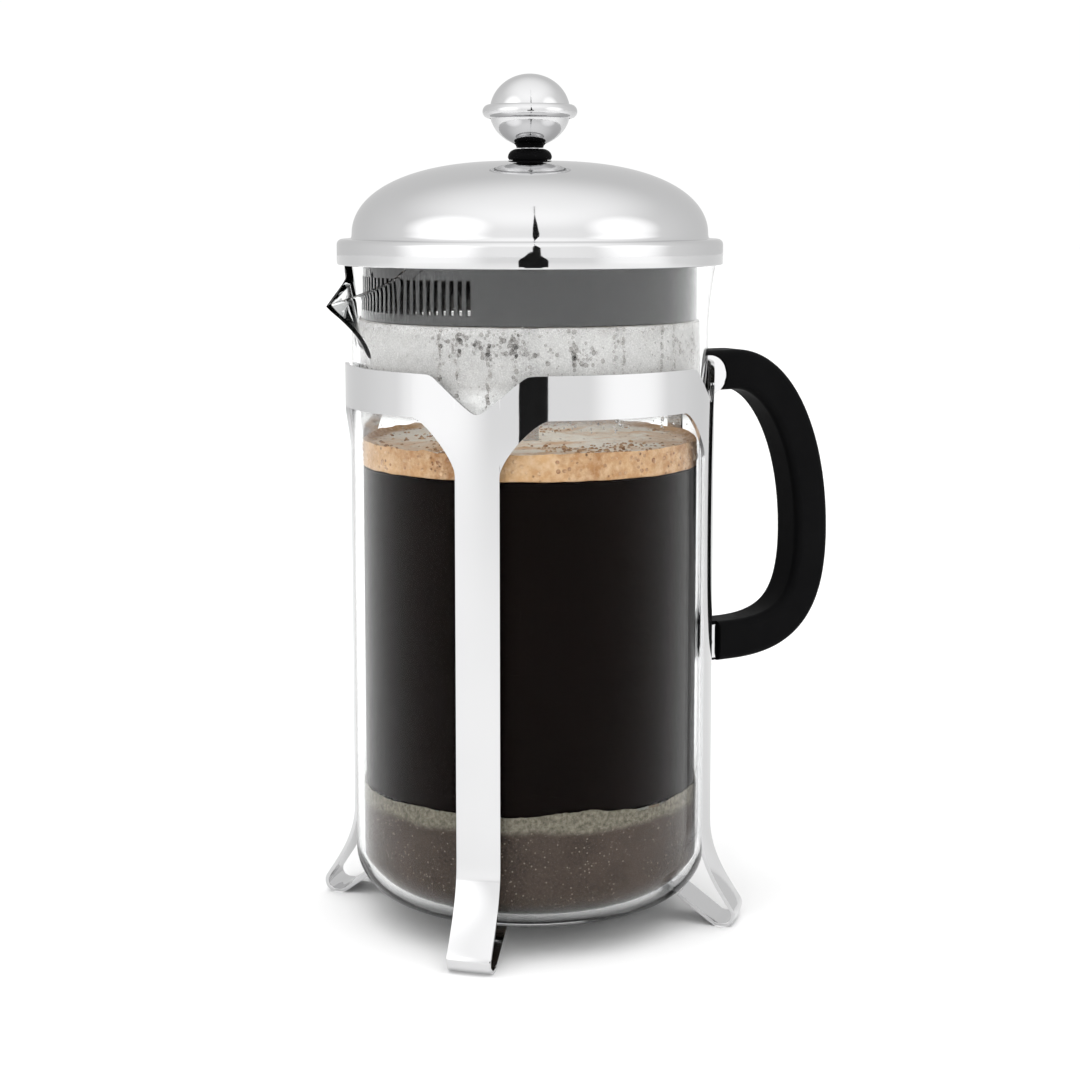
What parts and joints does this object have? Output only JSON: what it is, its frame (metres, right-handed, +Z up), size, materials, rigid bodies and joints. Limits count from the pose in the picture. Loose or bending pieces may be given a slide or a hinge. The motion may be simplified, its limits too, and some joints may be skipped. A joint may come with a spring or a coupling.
{
  "type": "french press",
  "caption": "Plunger coffee maker: glass beaker with a pinched spout in a polished steel frame with feet, a black loop handle, a domed steel lid, and a ball knob on a rod with a mesh filter.",
  "frame": {"origin": "middle of the whole object's footprint, on the surface that the feet stand on; the beaker's axis is 19 mm from it along -X", "axes": "+Z up along the beaker's axis, +X towards the handle, -X towards the spout"},
  "size_m": [0.1578, 0.1036, 0.2281],
  "materials": {
    "polished_steel": "mirror polished stainless steel",
    "plain_steel": "satin stainless steel",
    "filter_mesh": "fine woven stainless wire",
    "beaker_glass": "clear borosilicate glass",
    "handle_plastic": "black moulded plastic with a soft sheen",
    "liner_plastic": "glossy black moulded plastic"
  },
  "bodies": {
    "frame": {"frame": "polished_steel", "handle_bracket": "polished_steel", "handle": "handle_plastic", "upper_rivet": "polished_steel", "lower_rivet": "polished_steel"},
    "beaker": {"beaker": "beaker_glass"},
    "lid_hub": {"lid_bushing": "handle_plastic", "lid_washer": "plain_steel", "lid_nut": "handle_plastic"},
    "lid": {"lid_dome": "polished_steel", "lid_liner": "liner_plastic"},
    "plunger": {"knob_top": "polished_steel", "knob_bottom": "polished_steel", "knob_ring": "polished_steel", "knob_ferrule": "handle_plastic", "knob_insert": "handle_plastic", "plunger_rod": "plain_steel", "filter_hub": "plain_steel", "spiral_plate": "plain_steel", "spring_coil": "plain_steel", "mesh_filter": "filter_mesh", "cross_plate": "plain_steel", "filter_nut": "plain_steel"}
  },
  "joints": [
    {"name": "beaker_lift", "type": "slide", "parent": "frame", "child": "beaker", "axis": [0, 0, 1], "range_m": [0, 0.16]},
    {"name": "lid_lift", "type": "slide", "parent": "beaker", "child": "lid_hub", "axis": [0, 0, 1], "range_m": [0, 0.165]},
    {"name": "lid_turn", "type": "hinge", "parent": "lid_hub", "child": "lid", "pos_m": [-0.019, 0, 0.19], "axis": [0, 0, 1], "continuous": true},
    {"name": "plunge", "type": "slide", "parent": "lid_hub", "child": "plunger", "axis": [0, 0, 1], "range_m": [0, 0.125]}
  ]
}
